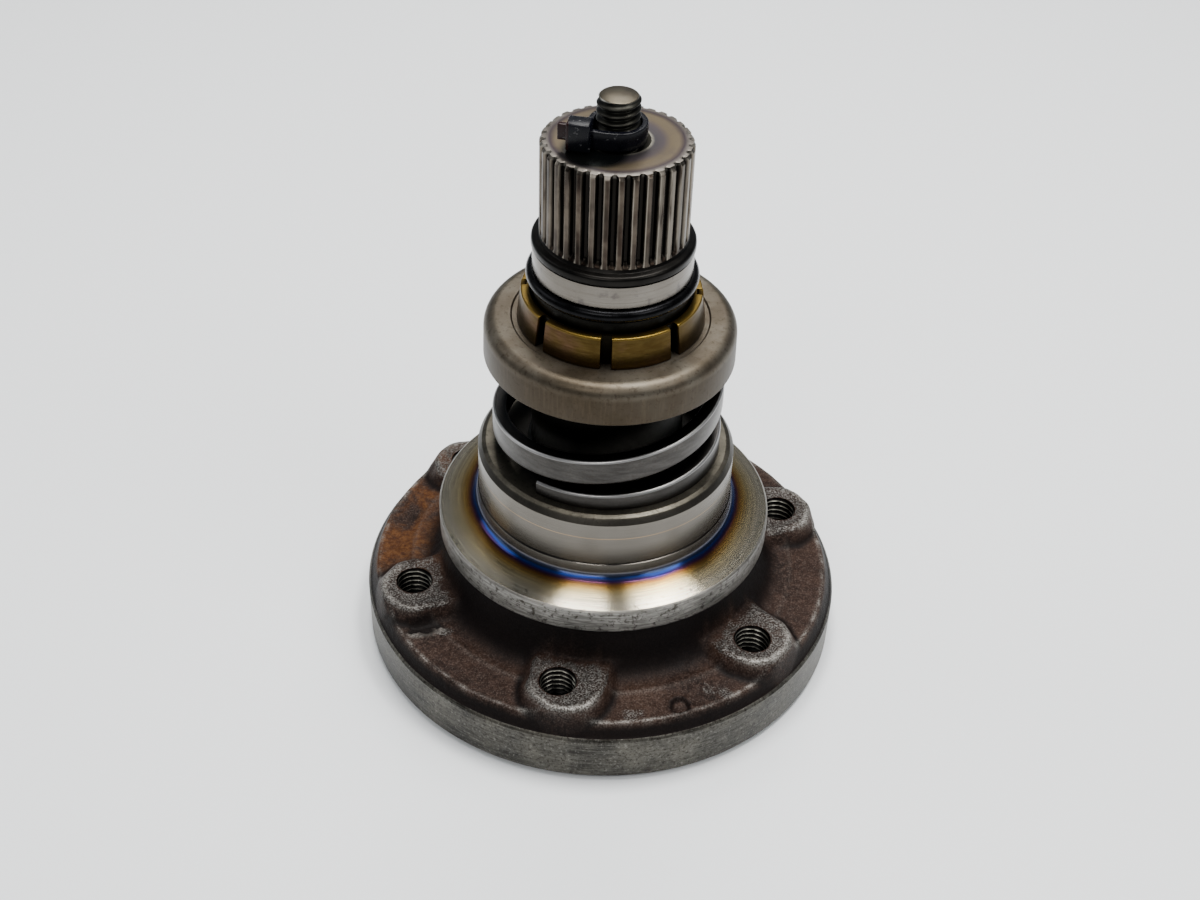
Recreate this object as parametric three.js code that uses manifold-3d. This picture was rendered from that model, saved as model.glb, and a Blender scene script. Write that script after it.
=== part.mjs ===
// Output drive flange of a vehicle gearbox: a flanged stub shaft that stands on its joint face,
// with the spring, thrust washer, tapered ring and circlip that centre it in the differential.
// Millimetres, +Z up along the shaft, origin at the centre of the joint face.
import * as THREE from "three";
import { mergeVertices } from "three/addons/utils/BufferGeometryUtils.js";
import Module from "manifold-3d";

const wasm = await Module();
wasm.setup();

// ---- Driving dimensions --------------------------------------------------------------------

const DEG = Math.PI / 180;
const ROUND = 60;              // segments of every turned surface
const FIT_GAP = 0.1;           // air between two faces that rest on each other

// Bolting flange
const FLANGE_R = 50;
const FLANGE_RIM_H = 11.25;
const FLANGE_CHAMFER = 1.2;
const PLATE_TOP_Z = 14.6;
const HOLE_COUNT = 6;
const HOLE_CIRCLE_R = 41;
const HOLE_PHASE = -100.6 * DEG;
const HOLE_R = 3.4;            // core hole of an M8 thread
const HOLE_MOUTH_R = 4.2;
const BOSS_TOP_Z = 17.3;
const BOSS_R = 8.6;
const BOSS_TOP_R = 7.4;

// Underside recess, counterbore and countersunk bolt seat
const RECESS_R = 29;
const RECESS_DEPTH = 12.5;
const COUNTERBORE_R = 9;
const SEAT_Z = 16;
const BORE_R = 4.4;
const BORE_MOUTH_R = 6;

// Disc collar and seal journal
const DISC_R = 34.3;
const DISC_UNDER_Z = 25;
const DISC_EDGE_Z = 30.7;
const DISC_ROOT_Z = 32.4;
const JOURNAL_ROOT_R = 26.4;
const JOURNAL_R = 26;
const JOURNAL_FOOT_Z = 35.4;
const HUB_TOP_Z = 47.1;
const HUB_CHAMFER = 1.5;

// Stub shaft, circlip groove, shoulder and splines
const SHAFT_R = 15.16;
const GROOVE_R = 13.7;
const GROOVE_Z = 86.8;
const GROOVE_HALF_W = 1.4;
const SHOULDER_Z = 93;
const SHOULDER_R = 15.4;
const SPLINE_FOOT_Z = 95.8;
const SPLINE_TEETH = 34;
const SPLINE_TIP_R = 13.92;
const SPLINE_ROOT_R = 12.85;
const SPLINE_PHASE = -91 * DEG;
const SHAFT_END_Z = 114.5;
const SHAFT_END_CHAMFER = 0.75;

// Compression spring of rectangular wire
const SPRING_OUTER_R = 23;
const WIRE_RADIAL = 2.85;
const WIRE_AXIAL = 5.6;
const SPRING_TURNS = 2.75;
const SPRING_TIP_ANGLE = -125 * DEG;
const END_TURN = 340 / 360;    // length in turns of each nearly closed end
const END_PITCH = 6.6;
const SPRING_FREE_H = 28.2;
const SPRING_STEPS_PER_TURN = 36;

// Thrust washer, pressed as a shallow cup over the top of the spring
const WASHER_TOP_Z = 77.1;
const WASHER_R = 24.55;
const WASHER_SKIRT_Z = 68.8;
const WASHER_WALL = 1.25;
const WASHER_SHOULDER_R = 2.5;
const WASHER_FACE_T = 1.6;
const WASHER_BORE_R = 15.7;
const WASHER_STEP_R = 19.2;
const WASHER_STEP = 0.3;

// Tapered ring with oil slots
const CONE_FOOT_R = 18.1;
const CONE_TOP_R = 17.27;
const CONE_BORE_R = 15.45;
const CONE_TOP_Z = 83.2;
const CONE_SLOTS = 8;
const CONE_SLOT_PHASE = -92 * DEG;
const CONE_SLOT_W = 2.25;
const CONE_SLOT_FLOOR_R = 16.1;

// Circlip of round wire, open at the back
const CLIP_WIRE_R = 1.25;
const CLIP_MEAN_R = 15.15;
const CLIP_OPENING = 18 * DEG;
const CLIP_OPENING_AT = 90 * DEG;

// Securing bolt, M8, countersunk head inside the recess
const BOLT_R = 3.95;
const BOLT_TIP_R = 3.42;
const BOLT_END_Z = 123;
const BOLT_TIP_H = 0.9;
const BOLT_LENGTH = 110;
const BOLT_HEAD_R = 8;
const BOLT_HEAD_RIM = 0.4;
const SOCKET_ACROSS_FLATS = 5;
const SOCKET_DEPTH = 3.2;

// Cable tie that keeps the bolt from dropping out
const TIE_BORE_R = 4.2;
const TIE_STRAP_T = 1.1;
const TIE_STRAP_W = 3.5;
const TIE_RUN = 5.5;
const TIE_RUN_TURN_DEG = -10;
const TIE_HEAD = [4.3, 3.6, 5.3];
const TIE_HEAD_AT = [-6.7, -4.2];
const TIE_TAIL = [1.7, 1.1, 3.1];

// ---- Solid helpers -------------------------------------------------------------------------

function toSolid(geometry) {
  const bare = geometry.clone();
  bare.deleteAttribute("normal");
  bare.deleteAttribute("uv");
  const merged = mergeVertices(bare, 1e-4);
  const vertProperties = new Float32Array(merged.attributes.position.array);
  const triVerts = new Uint32Array(merged.index.array);
  return new wasm.Manifold(new wasm.Mesh({ numProp: 3, vertProperties, triVerts }));
}

function toGeometry(solid) {
  const mesh = solid.getMesh();
  const geometry = new THREE.BufferGeometry();
  geometry.setAttribute("position", new THREE.BufferAttribute(mesh.vertProperties, 3));
  geometry.setIndex(new THREE.BufferAttribute(mesh.triVerts, 1));
  geometry.computeVertexNormals();
  return geometry;
}

// Solid of revolution about Z from [radius, height] pairs listed upwards on the outer side.
function turned(profile, segments = ROUND) {
  const points = profile.map(([r, z]) => new THREE.Vector2(r, z));
  const geometry = new THREE.LatheGeometry(points, segments);
  geometry.rotateX(Math.PI / 2);
  return toSolid(geometry);
}

function closed(profile) {
  return [...profile, profile[0]];
}

function block(sizeX, sizeY, sizeZ, x, y, z) {
  const geometry = new THREE.BoxGeometry(sizeX, sizeY, sizeZ);
  geometry.translate(x, y, z);
  return toSolid(geometry);
}

// Points of a quarter-round corner, from one angle to another about its centre.
function arc(centreR, centreZ, radius, fromDeg, toDeg, steps) {
  const points = [];
  for (let i = 0; i <= steps; i += 1) {
    const angle = (fromDeg + ((toDeg - fromDeg) * i) / steps) * DEG;
    points.push([centreR + radius * Math.cos(angle), centreZ + radius * Math.sin(angle)]);
  }
  return points;
}

function aroundZ(geometry, angle) {
  geometry.rotateZ(angle);
  return geometry;
}

const metal = (color, roughness) => new THREE.MeshStandardMaterial({ color, roughness, metalness: 1 });

function named(name, solid, material) {
  const mesh = new THREE.Mesh(toGeometry(solid), material);
  mesh.name = name;
  return mesh;
}

// ---- Flange shaft --------------------------------------------------------------------------

function shaftBlank() {
  const plate = [
    [0, 0],
    [FLANGE_R - FLANGE_CHAMFER, 0],
    [FLANGE_R, FLANGE_CHAMFER],
    [FLANGE_R, FLANGE_RIM_H],
    [48.2, 13.5],
    [46.5, PLATE_TOP_Z - 0.4],
    [38, PLATE_TOP_Z + 0.6],
    [34, 17.6],
    [31.8, 21],
    [31.2, DISC_UNDER_Z],
  ];
  const disc = [
    [DISC_R - 0.6, DISC_UNDER_Z],
    [DISC_R, DISC_UNDER_Z + 0.6],
    [DISC_R, DISC_EDGE_Z - 0.4],
    [DISC_R - 0.4, DISC_EDGE_Z],
    [JOURNAL_ROOT_R + 1.2, DISC_ROOT_Z - 0.2],
    [JOURNAL_ROOT_R, DISC_ROOT_Z + 0.9],
    [JOURNAL_ROOT_R, JOURNAL_FOOT_Z - 0.2],
    [JOURNAL_R, JOURNAL_FOOT_Z + 0.2],
    [JOURNAL_R, HUB_TOP_Z - HUB_CHAMFER],
    [JOURNAL_R - HUB_CHAMFER, HUB_TOP_Z],
  ];
  const stub = [
    [SHAFT_R + 1, HUB_TOP_Z],
    [SHAFT_R, HUB_TOP_Z + 1],
    [SHAFT_R, GROOVE_Z - GROOVE_HALF_W],
    [GROOVE_R, GROOVE_Z - GROOVE_HALF_W],
    [GROOVE_R, GROOVE_Z + GROOVE_HALF_W],
    [SHAFT_R, GROOVE_Z + GROOVE_HALF_W],
    [SHAFT_R, SHOULDER_Z],
    [SHOULDER_R, SHOULDER_Z + 0.2],
    [SHOULDER_R, SPLINE_FOOT_Z - 1.4],
    [SPLINE_ROOT_R + 1, SPLINE_FOOT_Z - 0.2],
    [SPLINE_ROOT_R, SPLINE_FOOT_Z + 0.8],
    [SPLINE_ROOT_R, SHAFT_END_Z - 0.3],
    [SPLINE_ROOT_R - 0.3, SHAFT_END_Z],
    [0, SHAFT_END_Z],
  ];
  return turned([...plate, ...disc, ...stub]);
}

// One pad round each threaded hole, running in under the disc and cut flush with the rim.
function bosses() {
  const foot = PLATE_TOP_Z - 2;
  const height = BOSS_TOP_Z - foot;
  let pads = null;
  for (let i = 0; i < HOLE_COUNT; i += 1) {
    const pad = new THREE.CylinderGeometry(BOSS_TOP_R, BOSS_R, height, 28);
    pad.rotateX(Math.PI / 2);
    pad.translate(HOLE_CIRCLE_R, 0, foot + height / 2);
    const web = new THREE.BoxGeometry(12, 2 * BOSS_TOP_R - 1, height - 0.6);
    web.translate(HOLE_CIRCLE_R - 6, 0, foot + (height - 0.6) / 2);
    const angle = HOLE_PHASE + (i * 2 * Math.PI) / HOLE_COUNT;
    const one = toSolid(aroundZ(pad, angle)).add(toSolid(aroundZ(web, angle)));
    pads = pads ? pads.add(one) : one;
  }
  const envelope = turned([[0, foot - 1], [FLANGE_R, foot - 1], [FLANGE_R, BOSS_TOP_Z - 1],
    [FLANGE_R - 1, BOSS_TOP_Z + 0.2], [0, BOSS_TOP_Z + 0.2]]);
  return pads.intersect(envelope);
}

function threadedHoles() {
  const mouth = HOLE_MOUTH_R - HOLE_R;
  const profile = [
    [0, -1],
    [HOLE_MOUTH_R + 1, -1],
    [HOLE_R, mouth],
    [HOLE_R, BOSS_TOP_Z - mouth],
    [HOLE_MOUTH_R + 1, BOSS_TOP_Z + 1],
    [0, BOSS_TOP_Z + 1],
  ];
  let holes = null;
  for (let i = 0; i < HOLE_COUNT; i += 1) {
    const angle = HOLE_PHASE + (i * 2 * Math.PI) / HOLE_COUNT;
    const x = HOLE_CIRCLE_R * Math.cos(angle);
    const y = HOLE_CIRCLE_R * Math.sin(angle);
    const hole = turned(profile, 20).translate([x, y, 0]);
    holes = holes ? holes.add(hole) : hole;
  }
  return holes;
}

function splineTeeth() {
  const shape = new THREE.Shape();
  const step = (2 * Math.PI) / SPLINE_TEETH;
  const corners = [[0.16, SPLINE_ROOT_R - 0.4], [0.16, SPLINE_ROOT_R], [0.3, SPLINE_TIP_R],
    [0.7, SPLINE_TIP_R], [0.84, SPLINE_ROOT_R], [0.84, SPLINE_ROOT_R - 0.4]];
  for (let i = 0; i < SPLINE_TEETH; i += 1) {
    for (const [share, radius] of corners) {
      const angle = SPLINE_PHASE + (i + share) * step;
      const x = radius * Math.cos(angle);
      const y = radius * Math.sin(angle);
      if (i === 0 && share === corners[0][0] && radius === corners[0][1]) {
        shape.moveTo(x, y);
      } else {
        shape.lineTo(x, y);
      }
    }
  }
  const depth = SHAFT_END_Z - SPLINE_FOOT_Z + 1;
  const bar = new THREE.ExtrudeGeometry(shape, { depth, bevelEnabled: false });
  bar.translate(0, 0, SPLINE_FOOT_Z - 1);
  const envelope = turned([
    [0, SPLINE_FOOT_Z - 2],
    [SPLINE_TIP_R + 1, SPLINE_FOOT_Z - 2],
    [SPLINE_TIP_R + 1, SHAFT_END_Z - SHAFT_END_CHAMFER - 1],
    [SPLINE_TIP_R - SHAFT_END_CHAMFER, SHAFT_END_Z],
    [0, SHAFT_END_Z],
  ]);
  return toSolid(bar).intersect(envelope);
}

function boreAndRecess() {
  return turned([
    [0, -1],
    [RECESS_R, -1],
    [RECESS_R, RECESS_DEPTH - 2],
    [RECESS_R - 2, RECESS_DEPTH],
    [COUNTERBORE_R, RECESS_DEPTH],
    [COUNTERBORE_R, SEAT_Z],
    [BORE_R, SEAT_Z + COUNTERBORE_R - BORE_R],
    [BORE_R, SHAFT_END_Z - (BORE_MOUTH_R - BORE_R)],
    [BORE_MOUTH_R, SHAFT_END_Z],
    [BORE_MOUTH_R, SHAFT_END_Z + 1],
    [0, SHAFT_END_Z + 1],
  ], 48);
}

function flangeShaft() {
  const forged = shaftBlank().add(bosses()).add(splineTeeth());
  return forged.subtract(threadedHoles()).subtract(boreAndRecess());
}

// ---- Compression spring --------------------------------------------------------------------

// Height of the wire's centre above the seat after a number of turns.
function wireHeight(turns) {
  const rise = SPRING_FREE_H + 0.4;
  const activeTurns = SPRING_TURNS - 2 * END_TURN;
  const activePitch = (rise - 2 * END_TURN * END_PITCH) / activeTurns;
  const first = Math.min(turns, END_TURN) * END_PITCH;
  const middle = Math.min(Math.max(turns - END_TURN, 0), activeTurns) * activePitch;
  const last = Math.max(turns - END_TURN - activeTurns, 0) * END_PITCH;
  return first + middle + last - 0.2;
}

// The bend from the end turn to the active coil is spread over a third of a turn.
function smoothWireHeight(turns) {
  const spread = 1 / 6;
  const samples = [-1, -0.5, 0, 0.5, 1];
  const heights = samples.map((s) => wireHeight(Math.min(Math.max(turns + s * spread, 0), SPRING_TURNS)));
  return heights.reduce((sum, h) => sum + h, 0) / samples.length;
}

function compressionSpring() {
  const steps = Math.round(SPRING_TURNS * SPRING_STEPS_PER_TURN);
  const bar = new THREE.BoxGeometry(1, WIRE_RADIAL, WIRE_AXIAL, steps, 1, 1);
  const position = bar.attributes.position;
  const meanR = SPRING_OUTER_R - WIRE_RADIAL / 2;
  for (let i = 0; i < position.count; i += 1) {
    const turns = (position.getX(i) + 0.5) * SPRING_TURNS;
    const angle = SPRING_TIP_ANGLE + turns * 2 * Math.PI;
    const radius = meanR - position.getY(i);
    const height = HUB_TOP_Z + smoothWireHeight(turns) + position.getZ(i);
    position.setXYZ(i, radius * Math.cos(angle), radius * Math.sin(angle), height);
  }
  const coil = toSolid(bar);
  const width = 2 * SPRING_OUTER_R + 4;
  const middle = HUB_TOP_Z + FIT_GAP + SPRING_FREE_H / 2;
  return coil.intersect(block(width, width, SPRING_FREE_H, 0, 0, middle));
}

// ---- Washer, tapered ring and circlip ------------------------------------------------------

function thrustWasher() {
  const innerR = WASHER_R - WASHER_WALL;
  const innerTop = WASHER_TOP_Z - WASHER_FACE_T;
  const centreR = WASHER_R - WASHER_SHOULDER_R;
  const centreZ = WASHER_TOP_Z - WASHER_SHOULDER_R;
  return turned(closed([
    [innerR, WASHER_SKIRT_Z],
    [WASHER_R, WASHER_SKIRT_Z],
    ...arc(centreR, centreZ, WASHER_SHOULDER_R, 0, 90, 4),
    [WASHER_STEP_R, WASHER_TOP_Z],
    [WASHER_STEP_R - WASHER_STEP, WASHER_TOP_Z - WASHER_STEP],
    [WASHER_BORE_R, WASHER_TOP_Z - WASHER_STEP],
    [WASHER_BORE_R, innerTop],
    [innerR - 0.2, innerTop],
    [innerR, innerTop - 0.2],
  ]));
}

function taperedRing() {
  const foot = WASHER_TOP_Z - WASHER_STEP + FIT_GAP;
  const cone = turned(closed([
    [CONE_BORE_R, foot],
    [CONE_FOOT_R, foot],
    [CONE_TOP_R, CONE_TOP_Z - 0.3],
    [CONE_TOP_R - 0.3, CONE_TOP_Z],
    [CONE_BORE_R, CONE_TOP_Z],
  ]));
  let ring = cone;
  for (let i = 0; i < CONE_SLOTS; i += 1) {
    const cutter = new THREE.BoxGeometry(4, CONE_SLOT_W, 20);
    cutter.translate(CONE_SLOT_FLOOR_R + 2, 0, CONE_TOP_Z);
    aroundZ(cutter, CONE_SLOT_PHASE + (i * 2 * Math.PI) / CONE_SLOTS);
    ring = ring.subtract(toSolid(cutter));
  }
  return ring;
}

class OpenRing extends THREE.Curve {
  getPoint(t, target = new THREE.Vector3()) {
    const sweep = 2 * Math.PI - CLIP_OPENING;
    const angle = CLIP_OPENING_AT + CLIP_OPENING / 2 + t * sweep;
    return target.set(CLIP_MEAN_R * Math.cos(angle), CLIP_MEAN_R * Math.sin(angle), GROOVE_Z);
  }
}

function circlip() {
  const section = new THREE.Shape();
  section.absarc(0, 0, CLIP_WIRE_R, 0, 2 * Math.PI);
  const wire = new THREE.ExtrudeGeometry(section, {
    steps: 54,
    curveSegments: 4,
    extrudePath: new OpenRing(),
  });
  return toSolid(wire);
}

// ---- Bolt and tie --------------------------------------------------------------------------

function securingBolt() {
  const footZ = BOLT_END_Z - BOLT_LENGTH;
  const bolt = turned([
    [0, footZ],
    [BOLT_HEAD_R, footZ],
    [BOLT_HEAD_R, footZ + BOLT_HEAD_RIM],
    [BOLT_R, footZ + BOLT_HEAD_RIM + BOLT_HEAD_R - BOLT_R],
    [BOLT_R, BOLT_END_Z - BOLT_TIP_H],
    [BOLT_TIP_R, BOLT_END_Z - 0.1],
    [BOLT_TIP_R - 0.1, BOLT_END_Z],
    [0, BOLT_END_Z],
  ], 36);
  const cornerR = SOCKET_ACROSS_FLATS / Math.sqrt(3);
  const socket = new THREE.CylinderGeometry(cornerR, cornerR, 2 * SOCKET_DEPTH, 6);
  socket.rotateX(Math.PI / 2);
  socket.translate(0, 0, footZ);
  return bolt.subtract(toSolid(socket));
}

function cableTie() {
  const footZ = SHAFT_END_Z + FIT_GAP;
  const outerR = TIE_BORE_R + TIE_STRAP_T;
  const loop = turned(closed([
    [TIE_BORE_R, footZ],
    [outerR, footZ],
    [outerR, footZ + TIE_STRAP_W],
    [TIE_BORE_R, footZ + TIE_STRAP_W],
  ]), 40);
  const runY = -(TIE_BORE_R + TIE_STRAP_T / 2);
  const straight = block(TIE_RUN, TIE_STRAP_T, TIE_STRAP_W, -TIE_RUN / 2, runY, footZ + TIE_STRAP_W / 2);
  const run = straight.rotate([0, 0, TIE_RUN_TURN_DEG]);
  const [headX, headY] = TIE_HEAD_AT;
  const [sizeX, sizeY, sizeZ] = TIE_HEAD;
  const head = block(sizeX, sizeY, sizeZ, headX, headY, footZ + sizeZ / 2);
  const [tailX, tailY, tailZ] = TIE_TAIL;
  const tailAt = headX - sizeX / 2 - tailX / 2 + 0.2;
  const tail = block(tailX, tailY, tailZ, tailAt, headY - 0.1, footZ + 3.2);
  return loop.add(run).add(head).add(tail);
}

// ---- Assembly ------------------------------------------------------------------------------

const assembly = new THREE.Group();
assembly.add(named("flange_shaft", flangeShaft(), metal(0x6b5a4c, 0.5)));
assembly.add(named("compression_spring", compressionSpring(), metal(0x8a8784, 0.35)));
assembly.add(named("thrust_washer", thrustWasher(), metal(0x8c8275, 0.4)));
assembly.add(named("tapered_ring", taperedRing(), metal(0x9a7430, 0.35)));
assembly.add(named("circlip", circlip(), metal(0x1c1c1e, 0.4)));
assembly.add(named("securing_bolt", securingBolt(), metal(0x55534a, 0.45)));
const nylon = new THREE.MeshStandardMaterial({ color: 0x0c0d12, roughness: 0.4, metalness: 0 });
assembly.add(named("cable_tie", cableTie(), nylon));

export default assembly;
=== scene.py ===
from math import acos, atan2, cos, pi, radians, sin, tan

import bpy
import bmesh
import numpy as np
from mathutils import Matrix, Vector


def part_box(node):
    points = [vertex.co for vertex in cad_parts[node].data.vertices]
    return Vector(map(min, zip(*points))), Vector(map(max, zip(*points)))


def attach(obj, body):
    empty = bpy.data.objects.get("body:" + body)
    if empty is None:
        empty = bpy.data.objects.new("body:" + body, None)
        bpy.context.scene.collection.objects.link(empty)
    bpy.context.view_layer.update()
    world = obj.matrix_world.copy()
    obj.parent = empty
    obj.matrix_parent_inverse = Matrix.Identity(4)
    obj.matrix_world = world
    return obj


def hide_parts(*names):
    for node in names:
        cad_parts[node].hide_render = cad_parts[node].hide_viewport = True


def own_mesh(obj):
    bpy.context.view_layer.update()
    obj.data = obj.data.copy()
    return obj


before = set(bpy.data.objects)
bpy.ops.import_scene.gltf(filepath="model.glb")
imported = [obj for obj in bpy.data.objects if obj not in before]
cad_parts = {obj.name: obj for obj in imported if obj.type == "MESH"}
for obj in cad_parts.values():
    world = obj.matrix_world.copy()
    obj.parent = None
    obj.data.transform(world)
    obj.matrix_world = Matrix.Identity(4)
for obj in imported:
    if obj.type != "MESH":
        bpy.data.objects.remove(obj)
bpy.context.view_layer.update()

MM = 0.001
TAU = 2 * pi

# ---- Dimensions in millimetres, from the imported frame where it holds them


def span(node):
    """Lowest and highest Z of a CAD node, in millimetres."""
    low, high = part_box(node)
    return low[2] / MM, high[2] / MM


def outer_radius(node):
    low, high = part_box(node)
    return max(high[0] - low[0], high[1] - low[1]) / 2 / MM


FLANGE_R = outer_radius("flange_shaft")
SHAFT_END = span("flange_shaft")[1]
WASHER_FOOT, WASHER_TOP = span("thrust_washer")
WASHER_R = outer_radius("thrust_washer")
CONE_FOOT, CONE_TOP = span("tapered_ring")
CONE_R = outer_radius("tapered_ring")
CLIP_LOW, CLIP_HIGH = span("circlip")
CLIP_Z = (CLIP_LOW + CLIP_HIGH) / 2
BOLT_FOOT, BOLT_END = span("securing_bolt")
SPRING_FOOT, SPRING_TOP = span("compression_spring")
TIE_FOOT = span("cable_tie")[0]

HOLE_COUNT = 6
HOLE_CIRCLE = 41.0
HOLE_PHASE = radians(-100.6)
HOLE_STEP = TAU / HOLE_COUNT
THREAD_CORE = 3.36
THREAD_PITCH = 1.25
THREAD_DEPTH = 0.60
RIM_TOP = 11.25
RIM_BEVEL = 1.2
RIDGE_R = 47.6          # raised edge of the plate, inside the turned rim
PLATE_TOP = 14.6
PLATE_R = 38.5          # from here inward the plate climbs to the neck
BOSS_TOP = 17.3
BOSS_R = 8.0
NECK_R = 31.2
RECESS_R = 29.0
RECESS_ROOF = 12.5
SEAT_R = 9.0            # the bolt head's conical seat, from here in to the bore
SEAT_FOOT = 16.0
SEAT_TOP = 20.6
DISC_UNDER = 25.0
DISC_R = 34.3
DISC_EDGE = 30.7
DISC_INNER_Z = 32.2
JOURNAL_FOOT = 33.1
JOURNAL_LINE = 35.5     # undercut where the seal seat starts
JOURNAL_R = 26.0
HUB_TOP = 47.1
STUB_R = 15.16
GROOVE_R = 13.75
SHOULDER_FOOT = 92.75
SHOULDER_TOP = 94.75
SHOULDER_R = 15.4
BORE_R = 4.4
BORE_MOUTH = 6.0
SPLINE_FOOT = 95.8
SPLINE_TEETH = 34
SPLINE_TIP = 13.92
SPLINE_ROOT = 12.85
SPLINE_PHASE = radians(-91)


# ---- Mesh helpers


def add_object(name, data):
    made = bpy.data.objects.new(name, data)
    bpy.context.scene.collection.objects.link(made)
    return made


def new_piece(name, points, faces, materials, face_slots=None, sharp=38):
    """A closed mesh object from points in millimetres, smooth but for edges sharper than an angle."""
    mesh = bpy.data.meshes.new(name)
    mesh.from_pydata((np.asarray(points) * MM).tolist(), [], faces)
    for material in materials:
        mesh.materials.append(material)
    if face_slots is not None:
        mesh.polygons.foreach_set("material_index", np.asarray(face_slots, dtype=np.int32))
    mesh.update()
    finish_normals(mesh, sharp)
    return add_object(name, mesh)


def finish_normals(mesh, sharp):
    """Turns every face outward and marks the edges that stay sharp."""
    bm = bmesh.new()
    bm.from_mesh(mesh)
    bmesh.ops.recalc_face_normals(bm, faces=bm.faces)
    limit = radians(sharp)
    for edge in bm.edges:
        edge.smooth = len(edge.link_faces) == 2 and edge.calc_face_angle(0) < limit
    for face in bm.faces:
        face.smooth = True
    bm.to_mesh(mesh)
    bm.free()


def grid_faces(rows, columns, wrap_rows):
    """Quads over a grid of points stored row by row. Every row closes on itself."""
    row = np.arange(rows if wrap_rows else rows - 1)
    r, c = np.meshgrid(row, np.arange(columns), indexing="ij")
    r2 = (r + 1) % rows
    c2 = (c + 1) % columns
    quads = np.stack([r * columns + c, r * columns + c2, r2 * columns + c2, r2 * columns + c], -1)
    return quads.reshape(-1, 4).tolist()


def capped_faces(rows, columns):
    """Quads of a tube whose two ends are closed by one face each."""
    faces = grid_faces(rows, columns, False)
    faces.append(list(range(columns)))
    faces.append([(rows - 1) * columns + i for i in reversed(range(columns))])
    return faces


def rounded(corners, steps=4):
    """An outline of (radius, height, fillet) corners with each fillet drawn as an arc."""
    outline = []
    count = len(corners)
    for i, (r, z, fillet) in enumerate(corners):
        here = np.array([r, z], float)
        before = np.array(corners[i - 1][:2], float) - here
        after = np.array(corners[(i + 1) % count][:2], float) - here
        reach = min(np.linalg.norm(before), np.linalg.norm(after)) * 0.49
        if fillet <= 0 or reach < 1e-6:
            outline.append(tuple(here))
            continue
        before /= np.linalg.norm(before)
        after /= np.linalg.norm(after)
        half = acos(float(np.clip(before @ after, -1, 1))) / 2
        if half > radians(88):
            outline.append(tuple(here))
            continue
        run = min(fillet / tan(half), reach)
        radius = run * tan(half)
        middle = before + after
        centre = here + middle / np.linalg.norm(middle) * radius / sin(half)
        start = here + before * run - centre
        end = here + after * run - centre
        angle = atan2(start[0] * end[1] - start[1] * end[0], start @ end)
        for k in range(steps + 1):
            turn = angle * k / steps
            x = start[0] * cos(turn) - start[1] * sin(turn)
            y = start[0] * sin(turn) + start[1] * cos(turn)
            outline.append((centre[0] + x, centre[1] + y))
    return outline


def around(radii, heights, angles):
    """Points of a grid: one row for each profile point, one column for each angle."""
    r, z = (np.asarray(values, float) for values in (radii, heights))
    shape = (len(z), len(angles))
    r, z = (np.broadcast_to(v if v.ndim == 2 else v[:, None], shape) for v in (r, z))
    return np.stack([r * np.cos(angles), r * np.sin(angles), z], -1).reshape(-1, 3)


def turned(name, corners, materials, slot_at=None, columns=240, steps=4):
    """A ring turned from a closed outline. slot_at(radius, height) picks the material of a band."""
    outline = rounded(corners, steps)
    radii, heights = zip(*outline)
    angles = np.arange(columns) * TAU / columns
    faces = grid_faces(len(outline), columns, True)
    slots = None
    if slot_at:
        slots = []
        for i, (r, z) in enumerate(outline):
            r2, z2 = outline[(i + 1) % len(outline)]
            slots += [slot_at((r + r2) / 2, (z + z2) / 2)] * columns
    return new_piece(name, around(radii, heights, angles), faces, materials, slots)


def spokes(angles):
    """Unit vectors that point away from the axis."""
    return np.stack([np.cos(angles), np.sin(angles), np.zeros(len(angles))], -1)


def sweep(name, centres, sides, section, material):
    """A closed bar with flat ends: (side, height) points carried along the centres."""
    section = np.asarray(section, float)
    up = np.array([0.0, 0.0, 1.0])
    points = centres[:, None] + sides[:, None] * section[None, :, :1] + up * section[None, :, 1:]
    faces = capped_faces(len(centres), len(section))
    return new_piece(name, points.reshape(-1, 3), faces, [material])


def rounded_section(width, height, radius, steps):
    """Outline of a rectangle with round corners, centred on zero."""
    points = []
    for sx, sy, start in ((1, 1, 0), (-1, 1, 90), (-1, -1, 180), (1, -1, 270)):
        for k in range(steps + 1):
            a = radians(start + 90 * k / steps)
            points.append((sx * (width / 2 - radius) + radius * cos(a),
                           sy * (height / 2 - radius) + radius * sin(a)))
    return points


def smooth(low, high, value):
    """0 at low and 1 at high, with a soft start and end."""
    t = np.clip((value - low) / (high - low), 0, 1)
    return t * t * (3 - 2 * t)


def smooth_max(a, b, blend):
    """The greater of two surfaces, with their crossing rounded over."""
    h = np.clip(0.5 + 0.5 * (a - b) / blend, 0, 1)
    return b * (1 - h) + a * h + blend * h * (1 - h)


def wavy(x, y, scale, seed, octaves=3):
    """Cheap smooth noise from sine waves in seeded directions, about -1 to 1."""
    random = np.random.default_rng(seed)
    total = np.zeros_like(x)
    weight = 0.0
    for octave in range(octaves):
        for _ in range(5):
            angle, shift = random.uniform(0, TAU, 2)
            k = TAU / scale * 2 ** octave * random.uniform(0.7, 1.3)
            total = total + np.sin(k * (x * cos(angle) + y * sin(angle)) + shift) / 2 ** octave
        weight += 2.2 / 2 ** octave
    return total / weight


def add_layer(piece, name, values):
    """Stores one number for each vertex, for a material to read."""
    layer = piece.data.attributes.new(name, "FLOAT", "POINT")
    layer.data.foreach_set("value", np.ravel(values).astype(np.float32))


def cut(piece, cutter):
    """Subtracts a closed mesh from a piece and drops the cutter."""
    modifier = piece.modifiers.new("cut", "BOOLEAN")
    modifier.object = cutter
    modifier.operation = "DIFFERENCE"
    modifier.solver = "MANIFOLD"
    graph = bpy.context.evaluated_depsgraph_get()
    result = bpy.data.meshes.new_from_object(piece.evaluated_get(graph))
    piece.modifiers.remove(modifier)
    piece.data = result
    bpy.data.objects.remove(cutter)


# ---- Material helpers


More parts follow.
